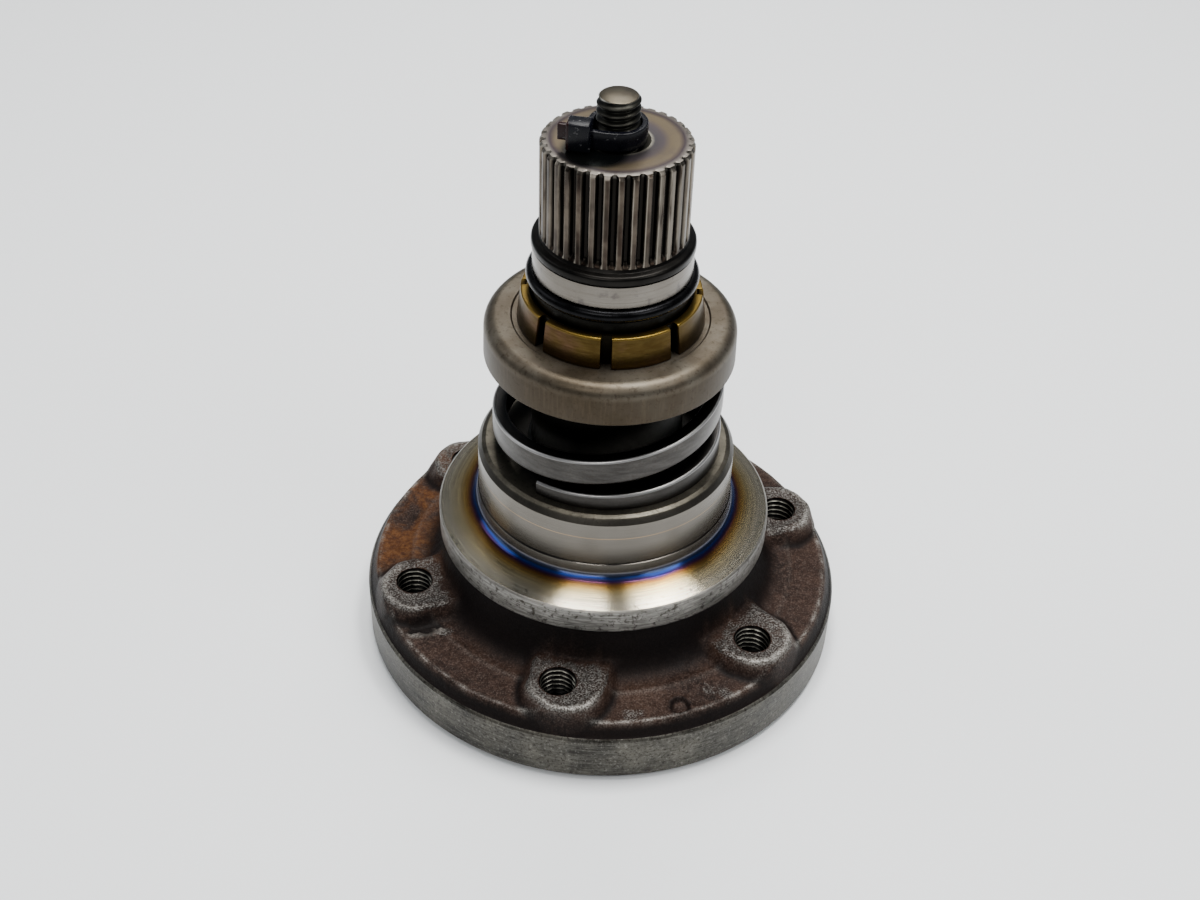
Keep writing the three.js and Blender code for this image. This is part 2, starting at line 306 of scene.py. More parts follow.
class Paint:
    """A material whose node tree is written as nested calls."""

    def __init__(self, name):
        self.material = bpy.data.materials.new(name)
        self.material.use_nodes = True
        self.tree = self.material.node_tree
        self.shader = self.tree.nodes["Principled BSDF"]
        self.place = self.node("TexCoord").outputs["Object"]
        self.x, self.y, self.z = self.node("SeparateXYZ", Vector=self.place).outputs
        self.flat = self.node("CombineXYZ", X=self.x, Y=self.y).outputs[0]
        self.r = self.node("VectorMath", operation="LENGTH", Vector=self.flat).outputs["Value"]
        self.colour = None

    def node(self, kind, **settings):
        made = self.tree.nodes.new("ShaderNode" + kind)
        for key, value in settings.items():
            if key in made.inputs:
                self.feed(made.inputs[key], value)
            else:
                setattr(made, key, value)
        return made

    def feed(self, socket, value):
        if isinstance(value, bpy.types.NodeSocket):
            self.tree.links.new(value, socket)
        elif isinstance(value, (tuple, list)) and len(value) == 3 and socket.type == "RGBA":
            socket.default_value = (*value, 1)
        else:
            socket.default_value = value

    def math(self, operation, *values, clamp=False):
        made = self.node("Math", operation=operation, use_clamp=clamp)
        for socket, value in zip(made.inputs, values):
            self.feed(socket, value)
        return made.outputs[0]

    def plus(self, a, b):
        return self.math("ADD", a, b)

    def minus(self, a, b):
        return self.math("SUBTRACT", a, b)

    def times(self, a, b, clamp=False):
        return self.math("MULTIPLY", a, b, clamp=clamp)

    def linear(self, value, base, gain):
        return self.plus(base, self.times(value, gain))

    def noise(self, scale, detail=4, rough=0.55, place=None, distortion=0.0):
        """scale is in repeats per millimetre."""
        made = self.node("TexNoise", Scale=scale / MM, Detail=detail, Roughness=rough,
                         Distortion=distortion, Vector=place or self.place)
        return made.outputs["Fac"]

    def streaks(self, along, across, detail=3):
        """Noise drawn out round the axis, as turning or grinding leaves it. Repeats per millimetre."""
        typical_radius = 20
        angle = self.math("ARCTAN2", self.y, self.x)
        place = self.node("CombineXYZ", X=self.times(angle, along * typical_radius),
                          Y=self.times(self.r, across / MM),
                          Z=self.times(self.z, across / MM)).outputs[0]
        return self.node("TexNoise", Scale=1.0, Detail=detail, Roughness=0.6,
                         Vector=place).outputs["Fac"]

    def ramp(self, value, *stops):
        """Each stop is a position and a colour."""
        made = self.node("ValToRGB", Fac=value)
        elements = made.color_ramp.elements
        while len(elements) < len(stops):
            elements.new(0.5)
        for element, (position, colour) in zip(elements, stops):
            element.position = position
            element.color = (*colour, 1)
        return made.outputs["Color"]

    def share(self, value, low, high, kind="LINEAR"):
        """value spread over 0 to 1 between two plain numbers."""
        ends = {"From Min": low, "From Max": high}
        return self.node("MapRange", interpolation_type=kind, Value=value, **ends).outputs[0]

    def band(self, value, low, high):
        """0 below low and 1 above high, both in millimetres of radius or height."""
        return self.share(value, low * MM, high * MM, "SMOOTHSTEP")

    def fade(self, value, low, high):
        """1 below low and 0 above high."""
        return self.minus(1.0, self.band(value, low, high))

    def mix(self, factor, a, b):
        made = self.node("Mix", data_type="RGBA")
        colour_sockets = [socket for socket in made.inputs if socket.type == "RGBA"]
        for socket, value in zip((made.inputs[0], *colour_sockets), (factor, a, b)):
            self.feed(socket, value)
        return made.outputs[2]

    def over(self, colour, mask, strength, top):
        """Lays a colour over another where a mask is high, at a strength of 0 to 1."""
        return self.mix(self.times(mask, strength), colour, top)

    def lay(self, mask, strength, top):
        """The same over the colour that the material will have."""
        self.colour = self.over(self.colour, mask, strength, top)

    def attribute(self, name):
        return self.node("Attribute", attribute_name=name).outputs["Fac"]

    def bump(self, height, strength, distance=0.05, after=None):
        made = self.node("Bump", Height=height, Strength=strength, Distance=distance * MM)
        if after is not None:
            self.feed(made.inputs["Normal"], after)
        return made.outputs[0]

    def turned_grain(self, strength):
        """Stretches the highlights across circular tool marks."""
        self.shader.inputs["Anisotropic"].default_value = strength
        self.shader.inputs["Anisotropic Rotation"].default_value = 0.25
        tangent = self.node("Tangent", direction_type="RADIAL", axis="Z")
        self.feed(self.shader.inputs["Tangent"], tangent.outputs[0])

    def finish(self, roughness, normal=None, metallic=1.0, **uniform):
        """Wires the shader. Further names are its sockets, with _ for each space."""
        sockets = self.shader.inputs
        self.feed(sockets["Base Color"], self.colour)
        self.feed(sockets["Roughness"], roughness)
        self.feed(sockets["Metallic"], metallic)
        if normal is not None:
            self.feed(sockets["Normal"], normal)
        for key, value in uniform.items():
            sockets[key.replace("_", " ")].default_value = value
        return self.material


# ---- Materials


def forging_skin():
    """Brown oxide skin of the hammered blank, bare grey where it is rubbed, with painted shade in its
    creases, under the disc and down the rim step.
    """
    p = Paint("forging_skin")
    broad = p.noise(0.07, 5, 0.62)
    fine = p.noise(0.9, 6, 0.7)
    speck = p.noise(2.9, 2, 0.6)
    brown = p.ramp(broad, (0.34, (0.006, 0.0036, 0.0028)), (0.5, (0.019, 0.0102, 0.0074)),
            (0.68, (0.034, 0.019, 0.013)))
    brown = p.over(brown, p.share(fine, 0.46, 0.7), 0.6, (0.058, 0.036, 0.028))
    brown = p.over(brown, p.share(speck, 0.54, 0.66), 0.35, (0.095, 0.074, 0.064))
    brown = p.over(brown, p.share(speck, 0.46, 0.36), 0.55, (0.005, 0.0035, 0.003))
    left = p.band(p.x, -26, -40)
    behind = p.band(p.y, -14, -2)
    patch = p.share(p.noise(0.13, 5, 0.65, distortion=0.5), 0.4, 0.56)
    rust_patch = p.times(p.times(left, behind), patch, clamp=True)
    rust = p.mix(p.share(fine, 0.4, 0.62), (0.048, 0.016, 0.005), (0.11, 0.045, 0.013))
    brown = p.over(brown, rust_patch, 0.7, rust)
    # Painted shade: near black in the creases, round the pads' feet, under the disc and down the step to
    # the rim.
    crease_shade = p.attribute("crease_shade")
    brown = p.over(brown, crease_shade, 0.93, (0.004, 0.003, 0.003))
    grain = p.plus(p.times(fine, 0.55), p.times(speck, 0.45))
    rubbed = p.share(p.plus(p.attribute("bare"), grain), 1.0, 1.22)
    steel = p.mix(p.share(speck, 0.42, 0.62), (0.014, 0.0135, 0.0125), (0.15, 0.146, 0.138))
    steel = p.over(steel, p.share(fine, 0.48, 0.6), 0.65, (0.012, 0.011, 0.01))
    # Bright edges: a painted highlight on the ridge and the pads' rims, partly real edge wear, broken up by
    # speckle.
    wear_and_highlight = p.times(p.share(speck, 0.36, 0.56), p.share(broad, 0.36, 0.6))
    edge = p.times(p.attribute("edge"), p.plus(wear_and_highlight, 0.12), clamp=True)
    p.colour = p.mix(rubbed, brown, steel)
    p.lay(edge, 0.85, (0.4, 0.385, 0.355))
    roughness = p.linear(fine, 0.36, 0.28)
    normal = p.bump(p.noise(0.3, 5, 0.6), 0.5, 0.3)
    normal = p.bump(fine, 0.6, 0.16, normal)
    normal = p.bump(speck, 0.6, 0.1, normal)
    metallic = p.linear(p.math("MAXIMUM", rubbed, edge), 0.1, 0.8)
    return p.finish(roughness, normal, metallic, Specular_IOR_Level=0.06)


def rim_steel():
    """Coarsely turned rim and joint face, dark and stained."""
    p = Paint("rim_steel")
    lines = p.streaks(0.35, 2.2)
    stains = p.noise(0.11, 6, 0.68)
    speck = p.noise(1.7, 5, 0.65)
    p.colour = p.ramp(stains, (0.36, (0.013, 0.0115, 0.0095)), (0.5, (0.043, 0.04, 0.033)),
            (0.66, (0.085, 0.079, 0.065)))
    p.lay(p.share(lines, 0.4, 0.7), 0.35, (0.17, 0.165, 0.145))
    p.lay(p.share(speck, 0.54, 0.62), 0.75, (0.014, 0.01, 0.008))
    p.lay(p.share(speck, 0.42, 0.34), 0.4, (0.24, 0.23, 0.21))
    roughness = p.linear(stains, 0.36, 0.22)
    normal = p.bump(lines, 0.5, 0.06)
    normal = p.bump(speck, 0.55, 0.08, normal)
    return p.finish(roughness, normal, 0.9)


def thread_steel():
    """Bright crests over roots with painted shade, near black, and painted shade darkening down the hole.
    The six holes share one pattern.
    """
    p = Paint("thread_steel")
    fine = p.noise(0.8, 4)
    angle = p.minus(p.math("ARCTAN2", p.y, p.x), HOLE_PHASE)
    turn = p.minus(p.math("FLOORED_MODULO", p.plus(angle, HOLE_STEP / 2), HOLE_STEP), HOLE_STEP / 2)
    along = p.minus(p.times(p.r, p.math("COSINE", turn)), HOLE_CIRCLE * MM)
    aside = p.times(p.r, p.math("SINE", turn))
    from_axis = p.math("SQRT", p.plus(p.math("POWER", along, 2.0), p.math("POWER", aside, 2.0)))
    crest = p.fade(from_axis, THREAD_CORE + 0.03, THREAD_CORE + 0.26)
    steel = p.mix(fine, (0.1, 0.095, 0.08), (0.36, 0.35, 0.3))
    # Painted shade: roots near black between the crests.
    p.colour = p.mix(crest, (0.0035, 0.003, 0.003), steel)
    # Painted shade: near black deep down the hole.
    depth = p.band(p.z, 10.0, 15.5)
    p.colour = p.mix(depth, (0.003, 0.003, 0.003), p.colour)
    return p.finish(p.linear(fine, 0.25, 0.2), p.bump(fine, 0.3, 0.05))


def disc_face():
    """Turned collar face with heat tint round the foot of the journal."""
    p = Paint("disc_face")
    wobble = p.times(p.minus(p.noise(0.06, 3), 0.5), 1.8 * MM)
    radius = p.plus(p.r, wobble)
    tint = p.ramp(p.share(radius, 26.6 * MM, 34.4 * MM), (0.00, (0.02, 0.035, 0.08)),
            (0.045, (0.012, 0.04, 0.22)), (0.085, (0.018, 0.014, 0.09)),
            (0.13, (0.06, 0.018, 0.045)), (0.2, (0.17, 0.07, 0.016)),
            (0.31, (0.34, 0.215, 0.06)), (0.47, (0.43, 0.35, 0.19)),
            (0.78, (0.46, 0.415, 0.32)))
    lines = p.streaks(0.1, 3.0, 2)
    speck = p.noise(1.0, 5, 0.7)
    p.colour = p.over(tint, p.share(lines, 0.38, 0.7), 0.4, (0.06, 0.05, 0.035))
    edge = p.band(p.r, 31.0, 34.2)
    share = p.linear(edge, 0.2, 0.6)
    dirt = p.times(p.share(speck, 0.57, 0.64), share, clamp=True)
    p.colour = p.mix(dirt, p.colour, (0.035, 0.025, 0.016))
    roughness = p.linear(lines, 0.17, 0.05)
    p.turned_grain(0.91)
    return p.finish(roughness, p.bump(lines, 0.14, 0.03))


def disc_rim():
    p = Paint("disc_rim")
    lines = p.streaks(0.5, 2.6)
    speck = p.noise(0.8, 5, 0.7)
    p.colour = p.mix(p.share(lines, 0.35, 0.68), (0.115, 0.11, 0.1), (0.29, 0.28, 0.26))
    p.lay(p.share(speck, 0.53, 0.62), 0.8, (0.028, 0.022, 0.018))
    # Painted shade along the rim's bottom edge and underside.
    p.lay(p.fade(p.z, DISC_UNDER + 0.1, DISC_UNDER + 1.0), 0.6, (0.03, 0.024, 0.02))
    # Painted highlight along the rim's top edge.
    p.lay(p.band(p.z, DISC_EDGE - 0.5, DISC_EDGE - 0.05), 0.55, (0.34, 0.32, 0.28))
    return p.finish(p.linear(speck, 0.3, 0.2), p.bump(lines, 0.55, 0.05))


def ground_journal():
    """Seal seat: fine grinding, one thin line worn by the lip of a seal, heat tint at the foot."""
    p = Paint("ground_journal")
    lines = p.streaks(0.06, 5.0, 2)
    cloud = p.noise(0.07, 4)
    p.colour = p.mix(cloud, (0.125, 0.114, 0.098), (0.18, 0.168, 0.15))
    p.lay(p.share(lines, 0.4, 0.75), 0.25, (0.1, 0.09, 0.078))
    off = p.math("ABSOLUTE", p.minus(p.z, 42.2 * MM))
    line = p.fade(off, 0.03, 0.13)
    p.lay(line, 0.6, (0.4, 0.265, 0.15))
    # Painted shade in the undercut at the foot of the seal seat.
    off = p.math("ABSOLUTE", p.minus(p.z, 35.7 * MM))
    line = p.fade(off, 0.1, 0.28)
    p.lay(line, 0.9, (0.02, 0.018, 0.016))
    foot = p.fade(p.z, 32.5, 33.9)
    p.lay(foot, 0.9, (0.03, 0.055, 0.15))
    roughness = p.linear(lines, 0.19, 0.08)
    p.turned_grain(0.85)
    return p.finish(roughness, p.bump(lines, 0.06, 0.02))


def oily_steel_and_shade():
    """Hub top, its chamfer and the shaft inside the spring: dark, with brown oil film, and painted shade
    inside the spring and on the chamfer.
    """
    p = Paint("oily_steel_and_shade")
    cloud = p.noise(0.12, 5, 0.6)
    speck = p.noise(1.3, 4, 0.7)
    p.colour = p.ramp(cloud, (0.3, (0.04, 0.036, 0.029)), (0.55, (0.105, 0.096, 0.076)),
            (0.75, (0.17, 0.157, 0.13)))
    p.lay(p.share(speck, 0.55, 0.68), 0.6, (0.025, 0.019, 0.014))
    # Painted shade: near black inside the spring.
    p.lay(p.fade(p.r, 18.0, 23.5), 0.95, (0.0025, 0.0025, 0.0025))
    # Painted shade on the chamfer.
    chamfer = p.times(p.band(p.r, JOURNAL_R - 0.95, JOURNAL_R - 0.55), 0.7)
    p.colour = p.mix(chamfer, p.colour, (0.03, 0.027, 0.024))
    return p.finish(p.linear(speck, 0.3, 0.2), p.bump(speck, 0.3, 0.06))


def bright_journal():
    p = Paint("bright_journal")
    lines = p.streaks(0.05, 4.0, 2)
    cloud = p.noise(0.16, 4, 0.6)
    p.colour = p.mix(cloud, (0.115, 0.101, 0.084), (0.2, 0.186, 0.166))
    p.lay(p.share(lines, 0.42, 0.75), 0.4, (0.11, 0.096, 0.08))
    p.lay(p.share(p.noise(0.4, 3), 0.6, 0.68), 0.5, (0.06, 0.052, 0.054))
    p.turned_grain(0.7)
    return p.finish(p.linear(lines, 0.18, 0.14), p.bump(lines, 0.2, 0.02))


def shoulder_steel():
    p = Paint("shoulder_steel")
    cloud = p.noise(0.3, 4)
    p.colour = p.mix(cloud, (0.004, 0.004, 0.004), (0.02, 0.0185, 0.0165))
    return p.finish(p.linear(cloud, 0.26, 0.15), p.bump(cloud, 0.2, 0.06))


def spline_steel():
    """Teeth rubbed bright on the crests, with a painted highlight along one flank and painted shade, near
    black, in the roots.
    """
    p = Paint("spline_steel")
    cloud = p.noise(0.13, 5, 0.62)
    stretch = p.node("VectorMath", operation="MULTIPLY", Vector=p.place)
    stretch.inputs[1].default_value = (1.5 / MM, 1.5 / MM, 0.13 / MM)
    rub = p.node("TexNoise", Scale=1.0, Detail=4.0, Vector=stretch.outputs[0]).outputs["Fac"]
    crest = p.band(p.r, SPLINE_ROOT + 0.35, SPLINE_TIP - 0.15)
    steel = p.ramp(cloud, (0.36, (0.01, 0.0068, 0.0052)), (0.5, (0.032, 0.023, 0.0175)),
            (0.66, (0.08, 0.064, 0.049)))
    # Rubbed wear on the crests and a painted highlight along one flank of each tooth.
    wear_and_highlight = p.times(p.attribute("wear_and_highlight"), p.share(rub, 0.32, 0.54), clamp=True)
    steel = p.over(steel, wear_and_highlight, 0.9, (0.46, 0.415, 0.345))
    # Painted shade in the roots: near black below the crests.
    p.colour = p.mix(crest, (0.008, 0.007, 0.006), steel)
    # Painted highlight on the teeth's end bevels.
    bevel = p.times(p.band(p.z, SHAFT_END - 1.0, SHAFT_END - 0.5), p.share(cloud, 0.4, 0.62))
    p.colour = p.mix(p.times(bevel, 0.5, clamp=True), p.colour, (0.34, 0.315, 0.275))
    return p.finish(p.linear(rub, 0.24, 0.2), p.bump(rub, 0.35, 0.06))


def shaft_end():
    """End face with rings of old heat and oil, and black residue by the tie."""
    p = Paint("shaft_end")
    wobble = p.times(p.minus(p.noise(0.12, 3), 0.5), 0.9 * MM)
    rings = p.ramp(p.share(p.plus(p.r, wobble), 4.0 * MM, 13.9 * MM), (0.1, (0.1, 0.097, 0.08)),
            (0.2, (0.2, 0.19, 0.155)), (0.26, (0.036, 0.033, 0.038)),
            (0.42, (0.052, 0.042, 0.045)), (0.56, (0.095, 0.074, 0.046)),
            (0.7, (0.105, 0.082, 0.052)), (0.8, (0.03, 0.021, 0.026)),
            (0.9, (0.16, 0.145, 0.125)))
    cloud = p.noise(0.18, 5, 0.65)
    p.colour = p.over(rings, p.share(cloud, 0.4, 0.7), 0.5, (0.055, 0.045, 0.04))
    spot = p.node("VectorMath", operation="DISTANCE", Vector=p.flat).outputs["Value"]
    spot.node.inputs[1].default_value = (-4.0 * MM, -5.2 * MM, 0)
    near = p.fade(p.plus(spot, wobble), 4.6, 7.0)
    p.lay(near, 0.95, (0.006, 0.009, 0.01))
    roughness = p.minus(0.4, p.times(near, 0.15))
    lines = p.streaks(0.2, 2.5)
    return p.finish(roughness, p.bump(lines, 0.3, 0.05), 0.95)


def spring_steel():
    p = Paint("spring_steel")
    lines = p.streaks(0.25, 1.1)
    speck = p.noise(2.4, 3, 0.6)
    p.colour = p.mix(p.share(lines, 0.3, 0.75), (0.036, 0.034, 0.032), (0.072, 0.068, 0.064))
    p.lay(p.share(speck, 0.5, 0.66), 0.35, (0.036, 0.029, 0.024))
    # Painted highlight along the wire's top outer edge.
    p.lay(p.attribute("edge"), 0.75, (0.5, 0.49, 0.48))
    # Painted shade, near black, on the wire's inner face.
    p.lay(p.attribute("inside"), 0.95, (0.004, 0.004, 0.004))
    p.lay(p.fade(p.z, SPRING_FOOT + 1.0, SPRING_FOOT + 5.5), 0.6, (0.022, 0.02, 0.018))
    roughness = p.linear(speck, 0.28, 0.12)
    normal = p.bump(lines, 0.2, 0.04)
    return p.finish(roughness, p.bump(speck, 0.15, 0.03, normal))


def washer_steel():
    p = Paint("washer_steel")
    cloud = p.noise(0.09, 5, 0.6)
    speck = p.noise(1.2, 5, 0.65)
    draw = p.streaks(1.6, 0.15)
    p.colour = p.ramp(cloud, (0.36, (0.062, 0.05, 0.035)), (0.5, (0.09, 0.075, 0.056)),
            (0.64, (0.12, 0.106, 0.084)))
    side = p.fade(p.z, 73.8, 75.6)
    p.lay(side, 0.75, (0.036, 0.027, 0.018))
    p.lay(p.share(speck, 0.54, 0.66), 0.5, (0.03, 0.021, 0.013))
    p.lay(p.times(side, p.share(draw, 0.5, 0.72)), 0.18, (0.12, 0.092, 0.062))
    roughness = p.linear(cloud, 0.38, 0.16)
    normal = p.bump(speck, 0.2, 0.05)
    return p.finish(roughness, p.bump(draw, 0.15, 0.04, normal))


def yellow_chromate():
    p = Paint("yellow_chromate")
    lines = p.streaks(0.35, 2.4)
    cloud = p.noise(0.11, 4)
    p.colour = p.ramp(cloud, (0.34, (0.048, 0.031, 0.009)), (0.5, (0.074, 0.049, 0.015)),
            (0.66, (0.098, 0.056, 0.032)))
    p.lay(p.share(lines, 0.38, 0.7), 0.5, (0.04, 0.02, 0.004))
    # Painted highlight along the top edge.
    p.lay(p.band(p.z, CONE_TOP - 0.6, CONE_TOP - 0.1), 0.6, (0.23, 0.15, 0.03))
    # Painted shade at the foot, where the cone sits on the washer.
    p.lay(p.fade(p.z, CONE_FOOT, CONE_FOOT + 0.9), 0.6, (0.03, 0.02, 0.008))
    # Painted shade, near black, on the slot floors.
    p.colour = p.mix(p.attribute("slot"), p.colour, (0.006, 0.005, 0.003))
    return p.finish(p.linear(lines, 0.24, 0.18), p.bump(lines, 0.4, 0.05))


def black_steel():
    p = Paint("black_steel")
    cloud = p.noise(0.5, 4)
    p.colour = p.mix(cloud, (0.003, 0.003, 0.0035), (0.014, 0.014, 0.015))
    return p.finish(p.linear(cloud, 0.2, 0.16), p.bump(cloud, 0.15, 0.05))


def bolt_steel():
    p = Paint("bolt_steel")
    cloud = p.noise(0.35, 5, 0.6)
    root = p.fade(p.r, 3.42, 3.92)
    face = p.band(p.z, BOLT_END - 0.1, BOLT_END - 0.03)
    rim = p.times(p.band(p.z, BOLT_END - 0.42, BOLT_END - 0.12), p.minus(1.0, face))
    p.colour = p.mix(cloud, (0.016, 0.0155, 0.013), (0.05, 0.048, 0.041))
    # Painted shade in the thread roots.
    p.lay(root, 0.9, (0.007, 0.007, 0.006))
    # Painted highlight on the bevel round the end face.
    p.lay(rim, 0.7, (0.42, 0.4, 0.35))
    p.colour = p.mix(face, p.colour, p.mix(cloud, (0.05, 0.043, 0.031), (0.115, 0.099, 0.072)))
    return p.finish(p.linear(cloud, 0.3, 0.2), p.bump(cloud, 0.3, 0.06))


def black_nylon():
    p = Paint("black_nylon")
    fine = p.noise(1.5, 3)
    p.colour = p.mix(fine, (0.0012, 0.0013, 0.0026), (0.0028, 0.0031, 0.0058))
    p.colour = p.mix(p.band(p.x, -8.4, -8.8), p.colour, (0.012, 0.0034, 0.0032))
    p.lay(p.share(p.noise(1.1, 2), 0.66, 0.69), 0.5, (0.1, 0.1, 0.1))
    return p.finish(p.linear(fine, 0.2, 0.12), p.bump(fine, 0.06, 0.04), 0.0, Specular_IOR_Level=0.16)


def plain_floor():
    p = Paint("plain_floor")
    p.colour = (0.8, 0.82, 0.835)
    return p.finish(0.6, None, 0.0, Specular_IOR_Level=0.3)


# ---- Flange forging

BOSS_SHIFTS = (1.6, 0.8, 0.4, 0.7, 0.4, 0.9)   # each pad sits a little off its hole, as forged
DIMPLE_AT = (45.6, -68.8)   # radius and degrees, as for the places below
RUBBED_SPOTS = ((46.5, -82.5, 3.6), (49.0, -84.5, 2.6), (44.5, -60.0, 2.6), (47.5, -57.0, 2.8),
                (43.4, -47.0, 2.2), (44.0, -139.5, 1.6), (40.5, -141.0, 1.6))   # with a size each
FOLD_AT = (43.5, -144.0)   # a lap in the forging beside the pad FOLD_BOSS
FOLD_BOSS = 5


def bell(value, centre, width):
    return np.exp(-(((value - centre) / width) ** 2))


def spot_distance(x, y, radius, degrees):
    turn = radians(degrees)
    return np.hypot(x - radius * cos(turn), y - radius * sin(turn))


def plate_height(r):
    """Top of the flange between the bosses, from the neck under the disc out to the rim."""
    climb = np.clip((PLATE_R - r) / (PLATE_R - NECK_R), 0, 1)
    height = PLATE_TOP - 0.06 * (r - PLATE_R) + (DISC_UNDER - PLATE_TOP) * climb ** 2.6
    return height + 0.22 * bell(r, 40.2, 0.9) + 0.15 * bell(r, 47.4, 0.7)


def boss_distance(r, angle, i):
    """Signed distance from the side of a D-shaped pad, and the distance outward from its hole."""
    turn = angle - (HOLE_PHASE + i * HOLE_STEP)
    u = r * np.cos(turn) - HOLE_CIRCLE
    v = r * np.sin(turn) - BOSS_SHIFTS[i]
    outward = np.hypot(np.maximum(u, 0) * 1.06, v) - BOSS_R
    inward = np.abs(v) - BOSS_R
    gap = np.where(u > 0, outward, inward) + 0.25 * wavy(u, v, 8.0, 40 + i, 2)
    return np.where(np.cos(turn) > 0.5, gap, 99.0), u


def forging_top(r, angle):
    """Height of the forged top, how bare each point of it is, how much painted shade it takes in creases,
    and how much edge wear and painted highlight it takes.
    """
    x, y = r * np.cos(angle), r * np.sin(angle)
    plate = plate_height(r) + 0.1 * wavy(x, y, 14, 3) + 0.03 * wavy(x, y, 3.0, 4)
    height, bare = plate, 0.5 * bell(r, RIDGE_R, 0.8) + 0.1 * bell(r, 40.0, 1.0)
    outer = smooth(47.9, 48.7, r) * (1 - smooth(49.5, 49.7, r))
    # Painted shade under the disc at the neck and down the steep drop to the rim.
    crease_shade = np.maximum(smooth(40.0, 35.0, r), outer)
    broken = smooth(-0.35, 0.45, wavy(x, y, 5.0, 21, 3))
    # Painted highlight along the ridge and the faint line at radius 40.5, partly real edge wear.
    edge = 0.4 * bell(r, RIDGE_R, 0.45) * (0.25 + 0.75 * broken) + 0.06 * bell(r, 40.5, 0.5)
    for spot_r, spot_turn, size in RUBBED_SPOTS:
        reach = spot_distance(x, y, spot_r, spot_turn) + 1.6 * wavy(x, y, 6.0, 33, 3)
        bare = np.maximum(bare, 0.6 * np.exp(-(np.maximum(reach, 0) / size) ** 2))
    for i in range(HOLE_COUNT):
        gap, u = boss_distance(r, angle, i)
        cover = 1 - smooth(-1.0, 1.8, gap)
        pad = BOSS_TOP + 0.05 * wavy(x, y, 4.0, 5) + 0.12 * bell(gap, -1.6, 0.7)
        lifted = np.minimum(plate, BOSS_TOP) * (1 - cover) + pad * cover
        height = np.maximum(height, np.where(cover > 0, smooth_max(plate, lifted, 0.5), -99))
        reach = smooth(-9.0, -4.5, u + 0.8 * wavy(x, y, 5.0, 60 + i, 2))
        bare = np.maximum(bare, 0.62 * (1 - smooth(-0.6, 0.5, gap)) * reach)
        bare = np.maximum(bare, bell(gap, 2.8, 2.6) * smooth(0.0, 4.0, u) * 0.4)
        # Painted shade in the hollow round each pad's foot.
        hollow = bell(gap, 1.5, 0.9) * smooth(-6.0, 0.0, u)
        crease_shade = np.maximum(crease_shade * (1 - cover * reach), hollow)
        # Painted highlight along each pad's rim, partly real edge wear.
        edge = np.maximum(edge * (1 - cover), 0.6 * bell(gap, -1.0, 0.7) * smooth(-1.0, 5.0, u))
    inner = 47.9 + 0.35 * (height > plate + 0.8)
    fall = smooth(inner, 49.75, r) ** 0.8
    height = height * (1 - fall) + (RIM_TOP + 0.05) * fall
    height = height - 0.5 * smooth(49.5, FLANGE_R, r) ** 2
    edge = edge * (1 - smooth(48.6, 49.0, r))
    bare = bare * (1 - smooth(0.5, 1.0, fall))
    reach = spot_distance(x, y, *DIMPLE_AT) + 0.25 * wavy(x, y, 2.2, 12, 2)
    height = height - 0.7 * (1 - smooth(1.3, 2.0, reach)) + 0.18 * bell(reach, 2.3, 0.35)
    # Painted shade in the ring round the dimple.
    crease_shade = np.maximum(crease_shade, 0.95 * bell(reach, 1.75, 0.55))
    bare = np.maximum(bare, 0.35 * (1 - smooth(0.8, 1.5, reach)))
    lip = spot_distance(x, y, *FOLD_AT) + 0.5 * wavy(x, y, 3.0, 14, 2)
    away = boss_distance(r, angle, FOLD_BOSS)[0]
    side = smooth(-0.6, 0.2, away - 3.6 + 0.5 * wavy(x, y, 2.5, 15, 2))
    fold = (1 - smooth(3.2, 4.6, lip)) * (height < BOSS_TOP - 0.8)
    height = height - 0.45 * fold * (1 - side)
    # Painted shade in the lap of the fold, and a painted highlight on its lip.
    crease_shade = np.maximum(crease_shade, 0.95 * fold * (1 - side))
    edge = np.maximum(edge, 0.75 * fold * side * (1 - smooth(4.0, 5.2, away)))
    settle = smooth(NECK_R, NECK_R + 1.2, r)
    return height * settle + plate_height(r) * (1 - settle), bare, crease_shade, edge


def thread_cutter(x, y, low, high):
    """A screw-shaped bar that cuts a thread with bevelled mouths."""
    columns, bevel = 36, 0.35
    rows = int((high - low) / THREAD_PITCH * 10)
    angles = np.arange(columns) * TAU / columns
    z = np.linspace(low, high, rows)
    wave = (z[:, None] / THREAD_PITCH - angles[None, :] / TAU) % 1.0
    radius = THREAD_CORE + THREAD_DEPTH * np.clip(1.3 - 2.6 * np.abs(wave - 0.5), 0, 1)
    mouth = np.maximum(0, bevel - np.minimum(np.abs(z - BOSS_TOP), np.abs(z)))[:, None]
    radius = np.maximum(radius, THREAD_CORE + mouth)
    beyond = ((z > BOSS_TOP) | (z < 0))[:, None]
    radius = np.where(beyond, THREAD_CORE + bevel, radius)
    points = around(radius, z, angles) + np.array([x, y, 0])
    return new_piece("cutter", points, capped_faces(rows, columns), [THREAD])


